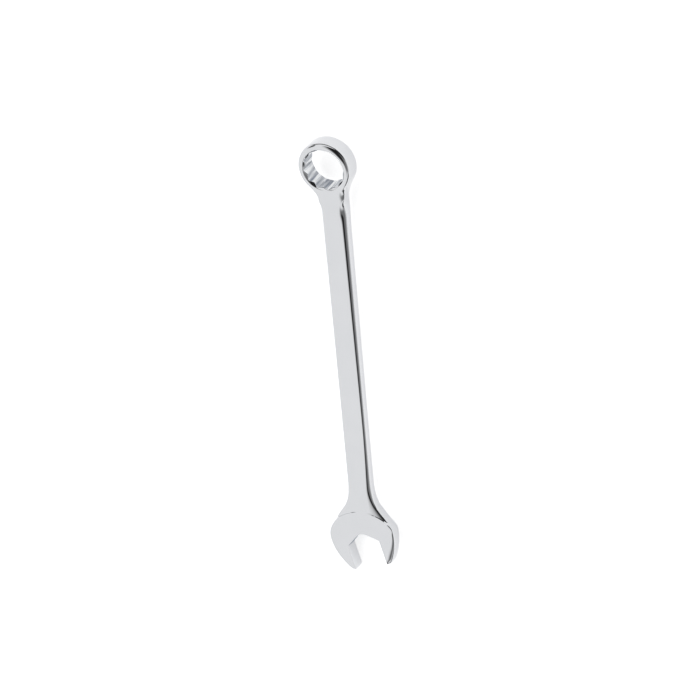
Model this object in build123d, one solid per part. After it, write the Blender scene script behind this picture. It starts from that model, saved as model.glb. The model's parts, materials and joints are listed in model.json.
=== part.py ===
from build123d import *
from math import cos, radians, sin, sqrt, tan
import os

# Combination wrench: one chrome vanadium forging with a tilted twelve point ring at one end and a
# turned open jaw at the other. It is written as three named regions of that forging, which meet
# face to face where the shank is straight.
# Millimetres. X runs along the shank from the ring to the jaw, Z is up, and the wrench lies on its
# ring and jaw pads. While it is built, X = 0 is the ring's centre and Z = 0 the shank's middle.

# Nut size and overall length
across_flats = 17.0
fit_clearance = 0.10
centre_distance = 181.0

# Ring
ring_tilt = 15.0
ring_thickness = 10.0
ring_wall = 2.83
ring_edge_radius = 1.9
mouth_chamfer = 0.45
socket_points = 12

# Shank: its section is flat above and below, with rounded corners and barrelled sides
shank_width_ring = 13.2
shank_width_waist = 12.7
shank_width_shoulder = 12.7
shank_thickness_ring = 7.0
shank_thickness_waist = 5.5
shank_thickness_shoulder = 6.4
shank_corner_ring = 3.0
shank_corner_waist = 1.3
shank_corner_shoulder = 2.0
waist_back = 56.0
corner_turn = 60.0

# Neck between ring and shank: its sections stand at these shares of the way out of the ring
neck_length = 15.0
neck_flare = 2.2
neck_top_step = 0.25
neck_root_angle = 45.0
neck_stations = (0.0, 0.3, 0.62, 1.0)

# Open jaw
jaw_turn = 15.0
jaw_thickness = 7.0
jaw_arm_width = 8.6
jaw_reach = 14.5
jaw_widest_back = 3.7
jaw_edge_radius = 1.6
tip_radius = 1.0
throat_depth = 4.15
throat_slope = 34.0
throat_radius = 5.0
throat_corner_radius = 1.0

# Shoulders and pads behind the jaw
shoulder_back = 19.8
stem_length = 9.9
shoulder_slope = 42.0
shoulder_corner_radius = 9.0
shoulder_hollow_radius = 20.0
pad_back = 15.2
pad_radius = 21.5

# Where the forging is divided into named regions, measured from the ring and jaw centres
ring_region = 45.0
jaw_region = 45.0

# How far joined pieces run into each other, and how closely a place has to match
joint_overlap = 1.0
tolerance = 0.01

# Worked out sizes
socket_flats = across_flats + fit_clearance
socket_point_radius = socket_flats / 2 / cos(radians(30))
ring_radius = socket_point_radius + ring_wall
jaw_half_gap = (across_flats + fit_clearance) / 2
jaw_half_width = jaw_half_gap + jaw_arm_width
rest_depth = jaw_thickness / 2
shoulder_start = centre_distance - shoulder_back
stem_start = shoulder_start - stem_length
neck_start = ring_radius * cos(radians(neck_root_angle))

# The ring's lowest edge stands on the same plane as the underside of the jaw.
tilt_sine = sin(radians(ring_tilt))
tilt_cosine = cos(radians(ring_tilt))
ring_crown = ring_thickness / 2 - ring_edge_radius
ring_drop = (ring_radius - ring_edge_radius) * tilt_sine + ring_crown * tilt_cosine + ring_edge_radius
ring_lift = ring_drop - rest_depth
ring_plane = Plane(
    origin=(0, 0, ring_lift),
    x_dir=(tilt_cosine, 0, -tilt_sine),
    z_dir=(tilt_sine, 0, tilt_cosine),
)
jaw_place = Location((centre_distance, 0, 0), (0, 0, jaw_turn))


def shank_section(x, width, low, high, corner):
    """A flat topped oval across the shank: corner arcs up to corner_turn, then barrelled sides."""
    turn = radians(corner_turn)
    half = (high - low) / 2
    side = (half - corner * (1 - cos(turn))) / cos(turn)
    flat = width / 2 - corner * sin(turn) - side * (1 - sin(turn))
    knee = Vector(flat + corner * sin(turn), half - corner * (1 - cos(turn)))
    bend = Vector(flat + corner * sin(turn / 2), half - corner * (1 - cos(turn / 2)))
    corner_arc = ThreePointArc((flat, half), (bend.X, bend.Y), (knee.X, knee.Y))
    side_arc = ThreePointArc((knee.X, knee.Y), (width / 2, 0), (knee.X, -knee.Y))
    right = Curve() + [corner_arc, side_arc, corner_arc.mirror(Plane.XZ)]
    edges = [Line((-flat, half), (flat, half)), Line((-flat, -half), (flat, -half))]
    edges += right.edges() + right.mirror(Plane.YZ).edges()
    face = make_face(edges)
    across = Plane(origin=(x, 0, (high + low) / 2), x_dir=(0, 1, 0), z_dir=(1, 0, 0))
    return across * face


def along_shank(x):
    """Width, thickness and corner radius of the shank at x: ring end, waist, then shoulders."""
    waist = centre_distance - waist_back
    if x < waist:
        share = x / waist
        start = (shank_width_ring, shank_thickness_ring, shank_corner_ring)
        end = (shank_width_waist, shank_thickness_waist, shank_corner_waist)
    else:
        share = min(1, (x - waist) / (stem_start - waist))
        start = (shank_width_waist, shank_thickness_waist, shank_corner_waist)
        end = (shank_width_shoulder, shank_thickness_shoulder, shank_corner_shoulder)
    return tuple(first + (last - first) * share for first, last in zip(start, end))


def plain_section(x):
    width, thickness, corner = along_shank(x)
    return shank_section(x, width, -thickness / 2, thickness / 2, corner)


def ring_blank():
    """Barrel with rounded rims, turned about the tilted axis of the socket."""
    half = ring_thickness / 2
    wall = Pos(ring_radius / 2, 0) * Rectangle(ring_radius, ring_thickness)
    rims = wall.vertices().filter_by(lambda v: v.X > ring_radius / 2)
    profile = fillet(rims, ring_edge_radius)
    upright = Plane(origin=(0, 0, 0), x_dir=(1, 0, 0), z_dir=(0, -1, 0))
    return ring_plane.location * revolve(upright * profile, Axis.Z)


def socket():
    """Twelve point broached hole, with a cone at each mouth that leads the nut in."""
    points = []
    valley = socket_flats / 2 / cos(radians(180 / socket_points))
    for number in range(socket_points):
        tip_angle = radians(360 / socket_points * number)
        valley_angle = tip_angle + radians(180 / socket_points)
        points.append((socket_point_radius * cos(tip_angle), socket_point_radius * sin(tip_angle)))
        points.append((valley * cos(valley_angle), valley * sin(valley_angle)))
    star = make_face(Polyline(*points, close=True))
    hole = extrude(star, ring_thickness, both=True)
    mouth = socket_point_radius + mouth_chamfer
    cone = Pos(0, 0, ring_thickness / 2 - mouth / 2) * Cone(0, mouth, mouth)
    hole = hole + cone + cone.mirror(Plane.XY)
    return ring_plane.location * hole


def neck():
    """Flares from the shank's section out to the ring, its top rising to the ring's front face."""
    end = ring_radius + neck_length
    sections = []
    for share in neck_stations:
        x = neck_start + (end - neck_start) * share
        width, thickness, corner = along_shank(x)
        flare = neck_flare * (1 - share) ** 2
        front = ring_lift + (ring_thickness / 2 - x * tilt_sine) / tilt_cosine
        high = max(thickness / 2, front - neck_top_step)
        sections.append(shank_section(x, width + 2 * flare, -thickness / 2, high, corner))
    return loft(sections)


def shank_blank():
    """From inside the ring's wall to the waist, and from the waist to the shoulders."""
    waist = centre_distance - waist_back
    ring_half = loft([plain_section(neck_start), plain_section(waist)], ruled=True)
    jaw_half = loft([plain_section(waist), plain_section(stem_start + joint_overlap)], ruled=True)
    return ring_half + jaw_half


def jaw_outline():
    """Plan of the open end: two long outer arcs, sloping shoulders and hollow sides to the shank."""
    rise = jaw_half_width - jaw_half_gap
    run = jaw_reach + jaw_widest_back
    outer = (run**2 + rise**2) / (2 * rise)
    offset = outer - jaw_half_width
    left = Pos(-jaw_widest_back, offset) * Circle(outer)
    right = Pos(-jaw_widest_back, -offset) * Circle(outer)
    arms = jaw_place * (left & right)
    x = shoulder_start
    half = shank_width_shoulder / 2
    far = x + 2 * shoulder_back
    spread = half + 2 * shoulder_back * tan(radians(shoulder_slope))
    shoulders = make_face(Polyline((x, half), (far, spread), (far, -spread), (x, -half), close=True))
    stem = Pos(x - stem_length / 2, 0) * Rectangle(stem_length, 2 * half)
    outline = (arms & shoulders) + stem
    corners = outline.vertices().filter_by(lambda v: x + joint_overlap < v.X < centre_distance)
    outline = fillet(corners, shoulder_corner_radius)
    hollows = outline.vertices().filter_by(lambda v: abs(v.X - x) < tolerance)
    return fillet(hollows, shoulder_hollow_radius)


def jaw_gap():
    """Plan of the gap: parallel faces, corner fillets and a shallow rounded V at the throat."""
    corner = jaw_half_gap * tan(radians(throat_slope))
    bottom = throat_radius * (1 / cos(radians(throat_slope)) - 1)
    deep = -throat_depth - bottom
    mouth = 2 * jaw_reach
    points = [(mouth, jaw_half_gap), (deep + corner, jaw_half_gap), (deep, 0)]
    points += [(deep + corner, -jaw_half_gap), (mouth, -jaw_half_gap)]
    gap = make_face(Polyline(*points, close=True))
    gap = fillet(gap.vertices().filter_by(lambda v: abs(v.Y) < tolerance), throat_radius)
    corners = gap.vertices().filter_by(lambda v: v.X < jaw_reach and abs(v.Y) > jaw_half_gap - tolerance)
    gap = fillet(corners, throat_corner_radius)
    return jaw_place * gap


def rounded_slab(outline, thickness, radius):
    """Outline raised to thickness about the middle plane, with both rims rounded."""
    slab = extrude(outline, thickness / 2, both=True)
    rims = slab.edges().filter_by(lambda e: abs(e.center().Z) > thickness / 2 - tolerance)
    return fillet(rims, radius)


def open_jaw():
    """Shoulders as thick as the shank, a thicker pad on each side, the gap and rounded tips."""
    outline = jaw_outline()
    pad_place = Pos(centre_distance - pad_back + pad_radius, 0)
    pads = rounded_slab(outline & pad_place * Circle(pad_radius), jaw_thickness, jaw_edge_radius)
    head = rounded_slab(outline, shank_thickness_shoulder, shank_corner_shoulder) + pads
    arms = outline - jaw_gap()
    tips = arms.vertices().filter_by(lambda v: v.X > centre_distance + jaw_reach / 2)
    arms = fillet(tips, tip_radius)
    return head & extrude(arms, jaw_thickness, both=True)


def region(low, high):
    """Slab across the wrench between two places along the shank."""
    span = 2 * centre_distance
    return Pos((low + high) / 2, 0, 0) * Box(high - low, span, span)


whole = ring_blank() + neck() + shank_blank() + open_jaw() - socket()
ring_cut = ring_region
jaw_cut = centre_distance - jaw_region
far = 2 * centre_distance
regions = {
    "box_end": (-far, ring_cut),
    "shank": (ring_cut, jaw_cut),
    "open_end": (jaw_cut, far),
}
box = whole.bounding_box()
stand = Pos(-box.center().X, -box.center().Y, -box.min.Z)
os.makedirs("parts", exist_ok=True)
for name, (low, high) in regions.items():
    piece = stand * (whole & region(low, high)).solid()
    piece.label = name
    export_step(piece, f"parts/{name}.step")
print("origin moved by", tuple(stand.position), "overall", box.size)
print("ring centre height", ring_lift + rest_depth, "jaw centre x", centre_distance - box.center().X)
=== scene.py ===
import json
from math import atan2, cos, hypot, pi, radians, sin, sqrt, tan

import bmesh
import bpy
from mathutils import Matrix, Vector


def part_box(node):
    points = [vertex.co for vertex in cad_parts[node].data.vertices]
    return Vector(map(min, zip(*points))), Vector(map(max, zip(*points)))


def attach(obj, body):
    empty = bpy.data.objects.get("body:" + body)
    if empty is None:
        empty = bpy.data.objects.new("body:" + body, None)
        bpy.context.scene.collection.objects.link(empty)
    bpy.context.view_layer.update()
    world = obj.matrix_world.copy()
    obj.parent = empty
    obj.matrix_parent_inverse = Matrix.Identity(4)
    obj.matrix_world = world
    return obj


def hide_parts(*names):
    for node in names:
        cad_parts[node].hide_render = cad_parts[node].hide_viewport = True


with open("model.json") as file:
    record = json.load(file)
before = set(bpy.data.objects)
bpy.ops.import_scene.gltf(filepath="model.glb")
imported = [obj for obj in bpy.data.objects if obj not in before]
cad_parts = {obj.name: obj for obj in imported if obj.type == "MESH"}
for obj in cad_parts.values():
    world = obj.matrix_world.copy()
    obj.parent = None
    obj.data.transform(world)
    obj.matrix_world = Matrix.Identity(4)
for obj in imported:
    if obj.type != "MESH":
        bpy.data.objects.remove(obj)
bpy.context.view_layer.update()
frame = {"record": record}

mm = 0.001

# The ring of the forging. A barrel with rounded rims, turned about the socket's axis and broached
# with a twelve point hole. It is shaped with the socket's centre over the origin and the shank's
# middle plane at zero height, and the whole forging is moved onto its mounts at the end.
across_flats = 17.1
socket_point_radius = across_flats / 2 / cos(radians(30))
socket_ridge_radius = across_flats / 2 / cos(radians(15))
mouth_radius = socket_point_radius + 0.25
ring_tilt = radians(15)
ring_lift = 4.19
ring_steps = 24
ring_step = 2 * pi / ring_steps
rest_depth = 3.5
ring_half = 5.0
bore_radius = 9.9
neck_reach = 3 * ring_step
neck_side = radians(112)
tolerance = 0.01


def edit_mesh(forging):
    """Clears the selection in edit mode and returns the mesh being edited."""
    bpy.ops.mesh.select_all(action="DESELECT")
    return bmesh.from_edit_mesh(forging.data)


def meets(vertex, points):
    """Whether the vertex lies on one of the points, which are in millimetres."""
    return any((vertex.co - Vector(point) * mm).length < tolerance * mm for point in points)


def stands_on(vertex, places):
    """Whether the vertex lies above or below one of the places, which are x and y in millimetres."""
    x, y = vertex.co.x / mm, vertex.co.y / mm
    return any(hypot(x - a, y - b) < tolerance for a, b in places)


def add_loop(forging, points):
    """Adds a closed loop of edges through the points, and returns the points."""
    edit_mesh(forging)
    bpy.ops.mesh.primitive_circle_add(vertices=len(points), radius=mm)
    mesh = bmesh.from_edit_mesh(forging.data)
    circle = [vertex for vertex in mesh.verts if vertex.select]
    circle.sort(key=lambda vertex: atan2(vertex.co.y, vertex.co.x))
    for vertex, point in zip(circle, points):
        vertex.co = Vector(point) * mm
    bmesh.update_edit_mesh(forging.data)
    return points


def bridge(forging, first, second):
    """Joins two open loops, given by their points, with a band of four sided faces."""
    mesh = edit_mesh(forging)
    bpy.ops.mesh.select_mode(type="EDGE")
    for edge in mesh.edges:
        if len(edge.link_faces) < 2:
            for loop in (first, second):
                if all(meets(vertex, loop) for vertex in edge.verts):
                    edge.select = True
    bmesh.update_edit_mesh(forging.data)
    bpy.ops.mesh.bridge_edge_loops()
    bpy.ops.mesh.select_mode(type="VERT")


def on_ring(radius, angle, height):
    """A point of the upright ring, carried to its tilted place over the shank's middle plane."""
    x, y = radius * cos(angle), radius * sin(angle)
    down = ring_lift + height * cos(ring_tilt) - x * sin(ring_tilt)
    return x * cos(ring_tilt) + height * sin(ring_tilt), y, max(down, -rest_depth)


bpy.ops.object.select_all(action="DESELECT")
bpy.ops.mesh.primitive_circle_add(vertices=12, radius=mm)
forging = bpy.context.object
forging.name = "forging"
chrome = bpy.data.materials.new("chrome_plate")
# The bore's material carries painted reflections: streaks of dark and light in its colour.
broached_bore_painted_reflections = bpy.data.materials.new("broached_chrome_painted_reflections")
# The throat's material carries a painted reflection of shade in its dark bluish colour.
punched_throat_painted_reflection = bpy.data.materials.new("punched_chrome_painted_reflection")
forging.data.materials.append(chrome)
forging.data.materials.append(broached_bore_painted_reflections)
forging.data.materials.append(punched_throat_painted_reflection)
bpy.ops.object.mode_set(mode="EDIT")
rim = [(12.85, 1.6), (12.82, 3.65), (12.25, 4.56), (10.95, ring_half)]
rim += [(mouth_radius, ring_half), (socket_point_radius, 4.75)]
profile = rim + [(radius, -height) for radius, height in reversed(rim)]
mesh = edit_mesh(forging)
for vertex, (radius, height) in zip(mesh.verts, profile):
    vertex.co = Vector((radius, 0, height)) * mm
bmesh.update_edit_mesh(forging.data)
bpy.ops.mesh.select_all(action="SELECT")
bpy.ops.mesh.spin(steps=ring_steps, angle=2 * pi, center=(0, 0, 0), axis=(0, 0, 1))
bpy.ops.mesh.select_all(action="SELECT")
bpy.ops.mesh.remove_doubles(threshold=tolerance * mm)

# Every second line of the bore is drawn in to a ridge, and its mouth corner sinks down the lead
# in cone, which leaves twelve points.
mesh = edit_mesh(forging)
for vertex in mesh.verts:
    line = round(atan2(vertex.co.y, vertex.co.x) / ring_step)
    if vertex.co.xy.length < (socket_point_radius + 0.1) * mm and line % 2:
        vertex.co.xy *= socket_ridge_radius / socket_point_radius
        sink = (socket_point_radius - socket_ridge_radius) * mm
        vertex.co.z -= sink if vertex.co.z > 0 else -sink
bmesh.update_edit_mesh(forging.data)

# The neck's opening in the outer wall. Above it the rim stays level out to the opening, so that
# the ring's front face can run straight on into the neck, and the rim is tighter on the neck's half.
wall_radius, opening_half, opening_level = 12.4, 3.2, 4.95
tight_radius, tight_level = 11.95, 4.92
mesh = edit_mesh(forging)
bpy.ops.mesh.select_mode(type="FACE")
for face in mesh.faces:
    middle = face.calc_center_median()
    outside = middle.xy.length > wall_radius * mm and abs(middle.z) < opening_half * mm
    face.select = outside and abs(atan2(middle.y, middle.x)) < neck_reach
bmesh.update_edit_mesh(forging.data)
bpy.ops.mesh.delete(type="FACE")
bpy.ops.mesh.select_mode(type="VERT")
mesh = edit_mesh(forging)
for vertex in mesh.verts:
    x, y, height = vertex.co / mm
    radius, angle = hypot(x, y), atan2(y, x)
    in_neck = abs(angle) < neck_reach - 0.1
    if vertex.is_boundary and in_neck:
        height = opening_level if height > 0 else -opening_level
    elif abs(radius - rim[2][0]) < tolerance and abs(angle) < neck_side:
        radius, height = tight_radius, tight_level if height > 0 else -tight_level
    vertex.co = Vector(on_ring(radius, angle, height)) * mm
ring_hole = [tuple(vertex.co / mm) for vertex in mesh.verts if vertex.is_boundary]
ring_axis = Vector((sin(ring_tilt), 0, cos(ring_tilt)))
ring_middle = Vector((0, 0, ring_lift)) * mm
# The bore's faces take the second material, whose streaked colour is painted reflection.
for face in mesh.faces:
    if all((vertex.co - ring_middle).cross(ring_axis).length < bore_radius * mm for vertex in face.verts):
        face.material_index = 1
bmesh.update_edit_mesh(forging.data)


# The neck: closed loops of eighteen points between the ring and the shank. Its top runs down the
# plane of the ring's front face, crisp at its left corner, while its sides draw in toward the
# bottom. Left is the side of +Y.
def front_plane(x):
    """Height of the ring's front face, carried on past the rim, at x along the shank."""
    return max(rest_depth, ring_lift + (ring_half - x * sin(ring_tilt)) / cos(ring_tilt))


neck_loops = [
    # x at the sides and in the middle, lean, half widths of the top, right share of them, corner drop,
    # upper side (width, level), lower side width, half widths of the bottom
    (11.4, 14.8, 0.5, (2.6, 5.8, 7.55), 0.86, 0.95, (7.85, 2.2), 7.2, (1.9, 4.2, 6.2)),
    (13.9, 16.4, 0.4, (2.5, 5.6, 7.25), 0.86, 0.55, (7.35, 2.2), 6.9, (1.9, 4.0, 5.9)),
    (15.8, 18.0, 0.3, (2.4, 5.3, 6.60), 0.92, 0.28, (6.95, 2.2), 6.8, (1.9, 4.0, 5.9)),
    (17.6, 19.6, 0.2, (2.2, 4.4, 6.10), 0.96, 0.90, (6.86, 1.0), 6.8, (1.8, 3.9, 5.8)),
    (22.0, 23.0, 0.0, (1.8, 3.8, 5.65), 1.00, 0.60, (6.75, 1.3), 6.75, (1.6, 3.7, 5.6)),
]
loop = ring_hole
neck_corners = []
crisp_until = 17.0
bottom_rise, lower_level = 0.3, -2.0
neck_lean = 0.9 * tan(ring_tilt)
for x_side, x_middle, lean, top, right_share, drop, (upper_side, level), lower_side, bottom in neck_loops:
    left = [(upper_side, level, 0), (top[2], ring_half, drop)]
    left += [(top[1], ring_half, 0), (top[0], ring_half, 0)]
    right = [(-y * right_share, height, fall) for y, height, fall in reversed(left)]
    under = [(bottom[0], -ring_half, 0), (bottom[1], -ring_half, 0), (bottom[2], -ring_half, -bottom_rise)]
    under.append((lower_side, lower_level, 0))
    right_under = [(-y, height, fall) for y, height, fall in reversed(under)]
    points = []
    for y, height, fall in left + [(0, ring_half, 0)] + right + right_under + [(0, -ring_half, 0)] + under:
        x = x_side + (x_middle - x_side) * max(0, 1 - (y / upper_side) ** 2)
        x += lean * neck_lean * height
        high = front_plane(x)
        z = (high - rest_depth) / 2 + (high + rest_depth) / 2 * height / ring_half - fall
        points.append((x, y, max(z, -rest_depth)))
    if x_side < crisp_until:
        neck_corners.append(points[1])
    following = add_loop(forging, points)
    bridge(forging, loop, following)
    loop = following


# The shank: an oval with flat faces, rounded corners and barrelled sides, thinnest at its waist.
def section(half_width, half, corner, x):
    """Eighteen points round the shank, starting at the upper end of the left side."""
    corner_reach = 0.866
    flat = half_width - corner_reach * corner - (1 - corner_reach) * (2 * half - corner)
    inner, outer = 0.98 * flat, flat + 0.66 * corner
    left = [(half_width + 0.05, 0.32 * half), (outer, half - 0.06 * corner)]
    left += [(inner, half), (0.44 * inner, half)]
    upper = left + [(0, half)] + [(-y, z) for y, z in reversed(left)]
    return [(x, y, z) for y, z in upper + [(y, -z) for y, z in reversed(upper)]]


shank_loops = [
    # x, half width, half thickness, corner
    (25.2, 6.62, 3.42, 2.95),
    (31.0, 6.57, 3.34, 2.7),
    (45.0, 6.52, 3.23, 2.4),
    (75.0, 6.45, 3.05, 2.0),
    (105.0, 6.39, 2.87, 1.6),
    (125.0, 6.35, 2.75, 1.3),
    (136.0, 6.35, 2.90, 1.5),
    (145.0, 6.35, 3.05, 1.8),
    (151.0, 6.35, 3.20, 2.0),
]
for x, half_width, half, corner in shank_loops:
    following = add_loop(forging, section(half_width, half, corner, x))
    bridge(forging, loop, following)
    loop = following

# The shoulders spread from the shank to the open end's pads. The shank's flat runs on between
# two straight edges and rises a little toward the pad, and outside the edges the faces fall away
# to a tall side wall.
shoulder_loops = [
    # right and left edge as (x, y), x on the axis, half widths of the face, falls at the last two
    ((156.0, -6.5), (156.0, 6.5), 155.6, (3.0, 4.2, 5.4), (0.02, 0.30)),
    ((160.6, -7.35), (160.6, 7.4), 158.2, (3.9, 5.2, 6.7), (0.08, 0.32)),
    ((163.6, -8.9), (164.0, 8.9), 160.2, (4.2, 6.2, 8.3), (0.14, 0.44)),
    ((166.2, -10.9), (166.7, 10.9), 162.1, (4.2, 7.4, 10.4), (0.22, 0.62)),
    ((168.5, -12.7), (169.1, 12.8), 164.0, (4.2, 8.6, 12.4), (0.28, 0.76)),
    ((170.25, -13.6), (170.6, 13.8), 165.39, (4.2, 9.1, 13.5), (0.30, 0.80)),
]
shoulder_depth = 3.17
shoulder_rise = 0.03
side_height, side_bulge = 1.2, 0.03
crisp_from = 160.0
shoulder_edges = []
shoulder_corners = []
for right, left, x_middle, widths, falls in shoulder_loops:
    shoulder_depth += shoulder_rise
    half_width = (left[1] - right[1]) / 2
    face = [(half_width + side_bulge, side_height), (widths[2], shoulder_depth - falls[1])]
    face += [(widths[1], shoulder_depth - falls[0]), (widths[0], shoulder_depth)]
    upper = face + [(0, shoulder_depth)] + [(-y, z) for y, z in reversed(face)]
    placed = []
    for y, z in upper + [(y, -z) for y, z in reversed(upper)]:
        share = (1 + y / half_width) / 2
        x_side = right[0] + (left[0] - right[0]) * share
        x = x_side + (x_middle - x_side) * max(0, 1 - (y / half_width) ** 2)
        placed.append((x, right[1] + (left[1] - right[1]) * share, z))
        if abs(y) == widths[0]:
            shoulder_edges.append(placed[-1])
        elif abs(y) == widths[2] and x_middle > crisp_from:
            shoulder_corners.append(placed[-1])
    following = add_loop(forging, placed)
    bridge(forging, loop, following)
    loop = following
pad_foot = loop

# The open end: a bar bent round the nut's gap, with a level pad above and below. Each station is
# one cross section of the bar, from the gap's wall out to the outline. It is laid out in the
# jaw's own axes, u along the opening and v across it, and then turned with the jaw.
jaw_centre = 181.0
jaw_turn = radians(15)
half_gap = across_flats / 2
arc_radius, arc_u, arc_v = 23.558, -3.7, 6.408
arc_growth = 0.10
pad_radius = 21.65
pad_centre = 187.3
throat_slope = radians(34)
throat_bottom = 4.45
throat_apex = 5.181
flank_widths = (5.4, 2.7, 0, -2.7, -4.9, -6.7)


def from_jaw(u, v):
    """A point given in the jaw's own axes."""
    return jaw_centre + u * cos(jaw_turn) - v * sin(jaw_turn), u * sin(jaw_turn) + v * cos(jaw_turn)


def on_arc(u, side):
    """A point of the long outer arc of an arm, on the side given as 1 or -1."""
    grown = arc_radius + arc_growth
    return from_jaw(u, side * (sqrt(grown**2 - (u - arc_u) ** 2) - arc_v))


def on_flank(v):
    """A point of the gap's shallow V, rounded at the bottom."""
    return from_jaw(max(-throat_bottom, abs(v) * tan(throat_slope) - throat_apex), v)


def gap_corner(side):
    """The flank's last point and its corner with the jaw face, on the side given as 1 or -1."""
    return from_jaw(0.06, side * 7.77), from_jaw(0.586, side * half_gap)


rim_widths = (14.9, 10.0, 4.7, 0.0, -4.6, -9.3, -13.9)
rim_points = [(pad_centre - sqrt(pad_radius**2 - y**2), y) for y in rim_widths]
walls = [(from_jaw(9.6, half_gap), on_arc(9.6, 1)), (from_jaw(5.8, half_gap), on_arc(5.2, 1))]
walls += [(from_jaw(2.8, half_gap), on_arc(1.2, 1)), (from_jaw(1.5, half_gap), on_arc(-1.6, 1))]
walls += [(gap_corner(1)[1], on_arc(-3.4, 1)), (gap_corner(1)[0], rim_points[0])]
walls += [(on_flank(v), point) for v, point in zip(flank_widths, rim_points[1:])]
walls += [(gap_corner(-1)[0], from_jaw(-11.2, -14.2)), (gap_corner(-1)[1], from_jaw(-8.0, -16.5))]
walls += [(from_jaw(1.5, -half_gap), on_arc(-4.0, -1)), (from_jaw(3.4, -half_gap), on_arc(0.6, -1))]
walls += [(from_jaw(6.2, -half_gap), on_arc(5.0, -1)), (from_jaw(9.6, -half_gap), on_arc(9.6, -1))]
tips = []
for side in (1, -1):
    tips.append([from_jaw(12.2, side * half_gap), from_jaw(13.5, side * 9.05), from_jaw(13.0, side * 10.7)])

# An inset is how far inside the outline the face's middle line runs, and a drop is how far the
# outline's edge lies below the face, which it does only along the left arm.
level, wall_level = rest_depth, 0.9
insets = [2.7, 2.0, 1.1, 0.8, 0.8, 1.2] + 12 * [2.8]
drops = [0.55, 0.55, 0.28, 0.05] + 16 * [0.0]
stations = [tips[0]]
for (inner, outer), inset in zip(walls, insets):
    share = max(0.5, 1 - inset / hypot(outer[0] - inner[0], outer[1] - inner[1]))
    middle = [a + (b - a) * share for a, b in zip(inner, outer)]
    stations.append([inner, middle, outer])
stations.append(tips[1])
head_loops = []
for (inner, middle, outer), drop in zip(stations, drops):
    points = [(*inner, level), (*middle, level), (*outer, level - drop), (*outer, wall_level)]
    points += [(*outer, -wall_level), (*outer, drop - level), (*middle, -level), (*inner, -level)]
    points += [(*inner, -wall_level), (*inner, wall_level)]
    head_loops.append(add_loop(forging, points))
for first, second in zip(head_loops, head_loops[1:]):
    bridge(forging, first, second)


def near(point):
    """The vertex closest to a point, which is in millimetres."""
    mesh = bmesh.from_edit_mesh(forging.data)
    return min(mesh.verts, key=lambda vertex: (vertex.co - Vector(point) * mm).length)


# Each tip is closed with six faces: two columns of three, meeting on the tip's own edge.
for inner, middle, outer in tips:
    mesh = edit_mesh(forging)
    rows = []
    for height in (level, wall_level, -wall_level, -level):
        row = []
        for place in (inner, middle, outer):
            if place is middle and abs(height) < level:
                row.append(mesh.verts.new(Vector((*place, height)) * mm))
            else:
                row.append(near((*place, height)))
        rows.append(row)
    for upper, lower in zip(rows, rows[1:]):
        for column in (0, 1):
            mesh.faces.new((upper[column], upper[column + 1], lower[column + 1], lower[column]))
    bmesh.update_edit_mesh(forging.data)

# The throat is left as punched and takes the third material. Its dark bluish colour is partly the thinner,
# darker plate and partly painted reflection of the shadowed floor in the gap.
mesh = edit_mesh(forging)
throat = [on_flank(v) for v in flank_widths] + [*gap_corner(1), *gap_corner(-1)]
for face in mesh.faces:
    if all(stands_on(vertex, throat) for vertex in face.verts):
        face.material_index = 2
bmesh.update_edit_mesh(forging.data)

# The outline wall between the two pad ends is opened and bridged to the shoulders.
mesh = edit_mesh(forging)
bpy.ops.mesh.select_mode(type="FACE")
for face in mesh.faces:
    face.select = all(stands_on(vertex, rim_points) for vertex in face.verts)
bmesh.update_edit_mesh(forging.data)
bpy.ops.mesh.delete(type="FACE")
bpy.ops.mesh.select_mode(type="VERT")
mesh = edit_mesh(forging)
pad_hole = [tuple(v.co / mm) for v in mesh.verts if v.is_boundary and not meets(v, pad_foot)]

bridge(forging, pad_foot, pad_hole)
bpy.ops.mesh.select_all(action="SELECT")
bpy.ops.mesh.normals_make_consistent(inside=False)
mesh = edit_mesh(forging)

# Edges that stay crisp: the socket's flutes and mouths, the jaw gap's rims, the pads' edges, the
# foot of the upper pad, the left arm's start, the shoulders' two straight edges and their outer
# corners, and the neck's left corner.
crease = mesh.edges.layers.float.get("crease_edge") or mesh.edges.layers.float.new("crease_edge")
arm_start = [(*rim_points[0], level), (*on_arc(-3.4, 1), level), (*on_arc(-1.6, 1), level)]
gap_points = [station[0] for station in stations] + [tips[0][1], tips[1][1]]
pad_level, foot_level = 3.49, 1.5
for edge in mesh.edges:
    first, second = edge.verts
    radii = [(end.co - ring_middle).cross(ring_axis).length / mm for end in (first, second)]
    if max(radii) < socket_point_radius + 0.05:
        edge[crease] = 0.6
    elif max(radii) < mouth_radius + 0.05 and min(radii) > mouth_radius - 0.05:
        edge[crease] = 0.5
    runs_level = abs(first.co.z - second.co.z) < mm
    at_face = all(abs(abs(end.co.z) - level * mm) < tolerance * mm for end in (first, second))
    if runs_level and at_face and stands_on(first, gap_points) and stands_on(second, gap_points):
        edge[crease] = 1.0
    if min(abs(first.co.z), abs(second.co.z)) > pad_level * mm:
        if stands_on(first, rim_points) and stands_on(second, rim_points):
            edge[crease] = 1.0
        elif meets(first, arm_start) and meets(second, arm_start):
            edge[crease] = 0.35
    if runs_level and meets(first, shoulder_edges) and meets(second, shoulder_edges):
        edge[crease] = 0.35
    upper = min(first.co.z, second.co.z) > foot_level * mm
    if upper and meets(first, pad_foot) and meets(second, pad_foot):
        edge[crease] = 1.0
    if runs_level and meets(first, shoulder_corners) and meets(second, shoulder_corners):
        edge[crease] = 0.7
    if meets(first, neck_corners) and meets(second, neck_corners):
        edge[crease] = 0.5
bmesh.update_edit_mesh(forging.data)
bpy.ops.object.mode_set(mode="OBJECT")

bpy.ops.object.modifier_add(type="SUBSURF")
forging.modifiers[-1].levels = 3
forging.modifiers[-1].render_levels = 3
bpy.ops.object.modifier_apply(modifier=forging.modifiers[-1].name)

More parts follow.
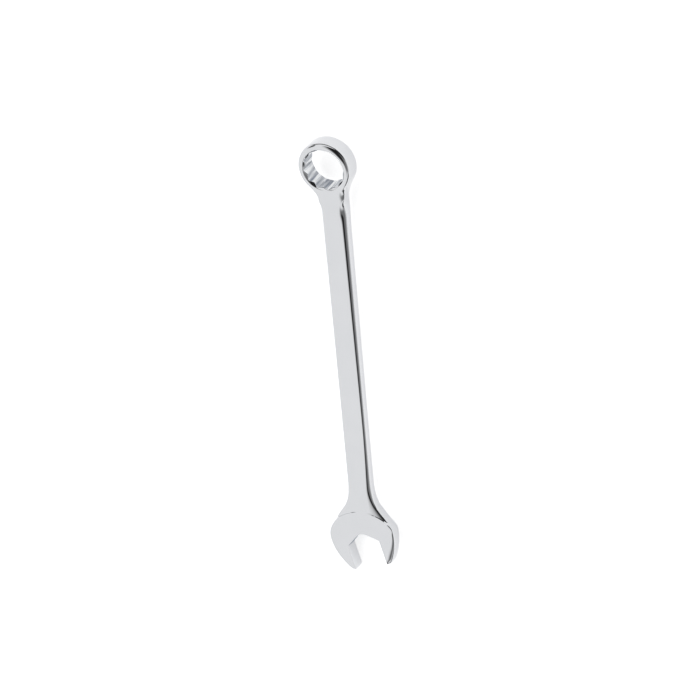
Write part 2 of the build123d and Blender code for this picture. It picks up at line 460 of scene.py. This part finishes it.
# The forging is moved onto its mounts, then divided where the shank is straight, into one piece
# for each region of the CAD model. The cut ends are filled and lie against each other.
mounts = {mount["name"]: Vector(mount["pos_m"]) for mount in frame["record"]["mounts"]}
jaw_place = Vector((jaw_centre, 0, 0)) * mm
shift = mounts["jaw_17"] - jaw_place
bpy.ops.object.mode_set(mode="EDIT")
bpy.ops.mesh.select_all(action="SELECT")
bpy.ops.transform.translate(value=shift)
bpy.ops.object.mode_set(mode="OBJECT")
first_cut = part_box("box_end")[1].x
second_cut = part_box("open_end")[0].x
regions = [("box_end", None, first_cut), ("shank", first_cut, second_cut), ("open_end", second_cut, None)]
for node, low, high in regions:
    bpy.ops.object.select_all(action="DESELECT")
    forging.select_set(True)
    bpy.context.view_layer.objects.active = forging
    bpy.ops.object.duplicate()
    piece = bpy.context.object
    piece.name = f"{node}_steel"
    bpy.ops.object.mode_set(mode="EDIT")
    for cut in (low, high):
        if cut is not None:
            bpy.ops.mesh.select_all(action="SELECT")
            bpy.ops.mesh.bisect(
                plane_co=(cut, 0, 0),
                plane_no=(1, 0, 0),
                use_fill=True,
                clear_inner=cut == low,
                clear_outer=cut == high,
            )
    bpy.ops.mesh.select_all(action="SELECT")
    bpy.ops.mesh.normals_make_consistent(inside=False)
    bpy.ops.object.mode_set(mode="OBJECT")
    bpy.ops.object.shade_smooth_by_angle(angle=radians(40))
    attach(piece, "root")
    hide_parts(node)
bpy.ops.object.select_all(action="DESELECT")
forging.select_set(True)
bpy.context.view_layer.objects.active = forging
bpy.ops.object.delete()

# Nickel and chrome plate over the polished forging: almost a mirror, with a cool tint, faint
# clouding, the slow waviness of hand polishing and fine lines left along the shank by the belt.
chrome.use_nodes = True
nodes, links = chrome.node_tree.nodes, chrome.node_tree.links
shader = nodes["Principled BSDF"]
shader.inputs["Metallic"].default_value = 1.0
place = nodes.new("ShaderNodeTexCoord").outputs["Object"]


def noise(scale, detail, stretch=(1, 1, 1)):
    """Noise over the object's own coordinates, with the features stretched along an axis."""
    mapping = nodes.new("ShaderNodeMapping")
    mapping.inputs["Scale"].default_value = stretch
    texture = nodes.new("ShaderNodeTexNoise")
    texture.inputs["Scale"].default_value = scale
    texture.inputs["Detail"].default_value = detail
    links.new(place, mapping.inputs["Vector"])
    links.new(mapping.outputs["Vector"], texture.inputs["Vector"])
    return texture.outputs["Fac"]


clouding = nodes.new("ShaderNodeMix")
clouding.data_type = "RGBA"
clouding.inputs[6].default_value = (0.635, 0.645, 0.665, 1)
clouding.inputs[7].default_value = (0.675, 0.682, 0.70, 1)
links.new(noise(90, 4), clouding.inputs[0])
links.new(clouding.outputs[2], shader.inputs["Base Color"])

polish = nodes.new("ShaderNodeMapRange")
polish.inputs["To Min"].default_value = 0.03
polish.inputs["To Max"].default_value = 0.11
links.new(noise(260, 3), polish.inputs["Value"])
links.new(polish.outputs["Result"], shader.inputs["Roughness"])

waves = nodes.new("ShaderNodeBump")
waves.inputs["Strength"].default_value = 1.0
waves.inputs["Distance"].default_value = 0.00004
links.new(noise(170, 1, (0.5, 1, 1)), waves.inputs["Height"])
belt = nodes.new("ShaderNodeBump")
belt.inputs["Strength"].default_value = 1.0
belt.inputs["Distance"].default_value = 0.0000006
links.new(noise(4000, 2, (0.02, 1, 1)), belt.inputs["Height"])
links.new(waves.outputs["Normal"], belt.inputs["Normal"])
links.new(belt.outputs["Normal"], shader.inputs["Normal"])

# The bore is broached before it is plated, so the cutter leaves fine grooves along the socket's axis, drawn
# as bumps. The dark bluish and light streaks in its colour along that axis are painted reflections,
# standing in for the shadowed floor and the opposite walls that the bore mirrors.
broached_bore_painted_reflections.use_nodes = True
nodes, links = broached_bore_painted_reflections.node_tree.nodes, broached_bore_painted_reflections.node_tree.links
shader = nodes["Principled BSDF"]
shader.inputs["Metallic"].default_value = 1.0
place = nodes.new("ShaderNodeTexCoord").outputs["Object"]
upright = nodes.new("ShaderNodeVectorRotate")
upright.rotation_type = "Y_AXIS"
upright.inputs["Angle"].default_value = -ring_tilt
links.new(place, upright.inputs["Vector"])
place = upright.outputs["Vector"]
# Painted reflection: dark bluish and light streaks along the socket's axis stand in for the shadowed floor
# and walls that the bore mirrors.
painted_reflection_streaks = nodes.new("ShaderNodeMix")
painted_reflection_streaks.data_type = "RGBA"
painted_reflection_streaks.inputs[6].default_value = (0.20, 0.22, 0.26, 1)
painted_reflection_streaks.inputs[7].default_value = (0.86, 0.87, 0.88, 1)
spread = nodes.new("ShaderNodeMapRange")
spread.inputs["From Min"].default_value = 0.33
spread.inputs["From Max"].default_value = 0.67
links.new(noise(620, 3, (1, 1, 0.08)), spread.inputs["Value"])
links.new(spread.outputs["Result"], painted_reflection_streaks.inputs[0])
links.new(painted_reflection_streaks.outputs[2], shader.inputs["Base Color"])
shader.inputs["Roughness"].default_value = 0.16
cuts = nodes.new("ShaderNodeBump")
cuts.inputs["Strength"].default_value = 1.0
cuts.inputs["Distance"].default_value = 0.00001
links.new(noise(2400, 2, (1, 1, 0.03)), cuts.inputs["Height"])
links.new(cuts.outputs["Normal"], shader.inputs["Normal"])

# The punched throat: dull and mottled, as thin chrome looks over rough steel. Its dark bluish colour is
# partly that plate and partly painted reflection of the shadowed floor in the gap.
punched_throat_painted_reflection.use_nodes = True
nodes, links = punched_throat_painted_reflection.node_tree.nodes, punched_throat_painted_reflection.node_tree.links
shader = nodes["Principled BSDF"]
shader.inputs["Metallic"].default_value = 1.0
shader.inputs["Roughness"].default_value = 0.35
place = nodes.new("ShaderNodeTexCoord").outputs["Object"]
# Painted reflection: the dark bluish mottled colour is partly the thin plate and partly stands in for the
# shadowed floor that the flank mirrors.
mottled_painted_reflection = nodes.new("ShaderNodeMix")
mottled_painted_reflection.data_type = "RGBA"
mottled_painted_reflection.inputs[6].default_value = (0.13, 0.17, 0.22, 1)
mottled_painted_reflection.inputs[7].default_value = (0.30, 0.35, 0.42, 1)
links.new(noise(900, 3), mottled_painted_reflection.inputs[0])
links.new(mottled_painted_reflection.outputs[2], shader.inputs["Base Color"])

# The table: a plain white light table, glowing evenly enough to lose almost all shadow.
bpy.ops.mesh.primitive_plane_add(size=40)
table = bpy.context.object
table.name = "light_table"
glass = bpy.data.materials.new("table_glass")
glass.use_nodes = True
surface = glass.node_tree.nodes["Principled BSDF"]
surface.inputs["Base Color"].default_value = (0.8, 0.8, 0.8, 1)
surface.inputs["Roughness"].default_value = 1.0
surface.inputs["Specular IOR Level"].default_value = 0.0
surface.inputs["Emission Color"].default_value = (1, 1, 1, 1)
surface.inputs["Emission Strength"].default_value = 0.75
table.data.materials.append(glass)

# Light: one broad white tent, left open on the side the wrench is looked at from. The opening is
# a window in direction, dark overhead and lighter toward the horizon.
tent = bpy.data.worlds.new("tent")
bpy.context.scene.world = tent
tent.use_nodes = True
tent_nodes, tent_links = tent.node_tree.nodes, tent.node_tree.links
toward = tent_nodes.new("ShaderNodeSeparateXYZ")
direction = tent_nodes.new("ShaderNodeTexCoord").outputs["Generated"]
tent_links.new(direction, toward.inputs["Vector"])


def ramp(value, start, end, low=0.0, high=1.0):
    """A smooth step of brightness while a value goes from start to end."""
    smooth = tent_nodes.new("ShaderNodeMapRange")
    smooth.interpolation_type = "SMOOTHSTEP"
    smooth.inputs["From Min"].default_value = start
    smooth.inputs["From Max"].default_value = end
    smooth.inputs["To Min"].default_value = low
    smooth.inputs["To Max"].default_value = high
    tent_links.new(value, smooth.inputs["Value"])
    return smooth.outputs["Result"]


def step(axis, start, end, low=0.0, high=1.0):
    return ramp(toward.outputs[axis], start, end, low, high)


def times(first, second):
    product = tent_nodes.new("ShaderNodeMath")
    product.operation = "MULTIPLY"
    tent_links.new(first, product.inputs[0])
    tent_links.new(second, product.inputs[1])
    return product.outputs["Value"]


def blend(share, first, second):
    """Mixes two brightnesses, each a number or a socket."""
    mix = tent_nodes.new("ShaderNodeMix")
    tent_links.new(share, mix.inputs["Factor"])
    for value, socket in ((first, mix.inputs["A"]), (second, mix.inputs["B"])):
        if isinstance(value, float):
            socket.default_value = value
        else:
            tent_links.new(value, socket)
    return mix.outputs["Result"]


skew = tent_nodes.new("ShaderNodeVectorMath")
skew.operation = "DOT_PRODUCT"
skew.inputs[1].default_value = (1.0, 0.45, 0.0)
tent_links.new(direction, skew.inputs[0])
opening = times(step("Y", -0.36, -0.06), step("X", 0.76, 0.56))
opening = times(opening, ramp(skew.outputs["Value"], -0.56, -0.42))
overhead = blend(step("Z", 0.82, 0.94), step("Z", 0.0, 0.55, 0.80, 0.22), 0.02)
overhead = times(overhead, step("X", -0.30, -0.05, 0.12, 1.0))

# Outside the opening the tent has a low gap at each end, and a dark stand hangs on the far side.
behind = tent_nodes.new("ShaderNodeVectorMath")
behind.operation = "DOT_PRODUCT"
behind.inputs[1].default_value = (-0.6, 1.0, 0.0)
tent_links.new(direction, behind.inputs[0])
sideways = tent_nodes.new("ShaderNodeMath")
sideways.operation = "ABSOLUTE"
tent_links.new(toward.outputs["X"], sideways.inputs[0])
far_gap = times(ramp(sideways.outputs["Value"], 0.55, 0.70), step("Z", 0.55, 0.40))
beyond = ramp(behind.outputs["Value"], -0.60, -0.35)
stand = times(times(step("Y", -0.52, -0.60), step("Y", -0.82, -0.76)), step("X", -0.02, -0.14))
stand = times(stand, times(step("Z", 0.82, 0.76), step("Z", 0.50, 0.58)))
outside = blend(stand, blend(times(far_gap, beyond), 1.06, 0.10), 0.03)
glow = blend(opening, outside, overhead)
tent_links.new(glow, tent_nodes["Background"].inputs["Strength"])
tent_nodes["Background"].inputs["Color"].default_value = (1, 1, 1, 1)

# The camera looks down on the wrench from its left, beyond the ring end, through a long lens, so
# that the ring stands at the top of the view.
bpy.ops.object.camera_add(
    location=(-0.206977, 0.308378, 0.604371),
    rotation=(radians(-19.1073), radians(25.4487), radians(84.4501)),
)
camera = bpy.context.object
camera.data.lens = 78.9603
camera.data.sensor_width = 36
bpy.context.scene.camera = camera
bpy.context.scene.view_settings.view_transform = "Standard"
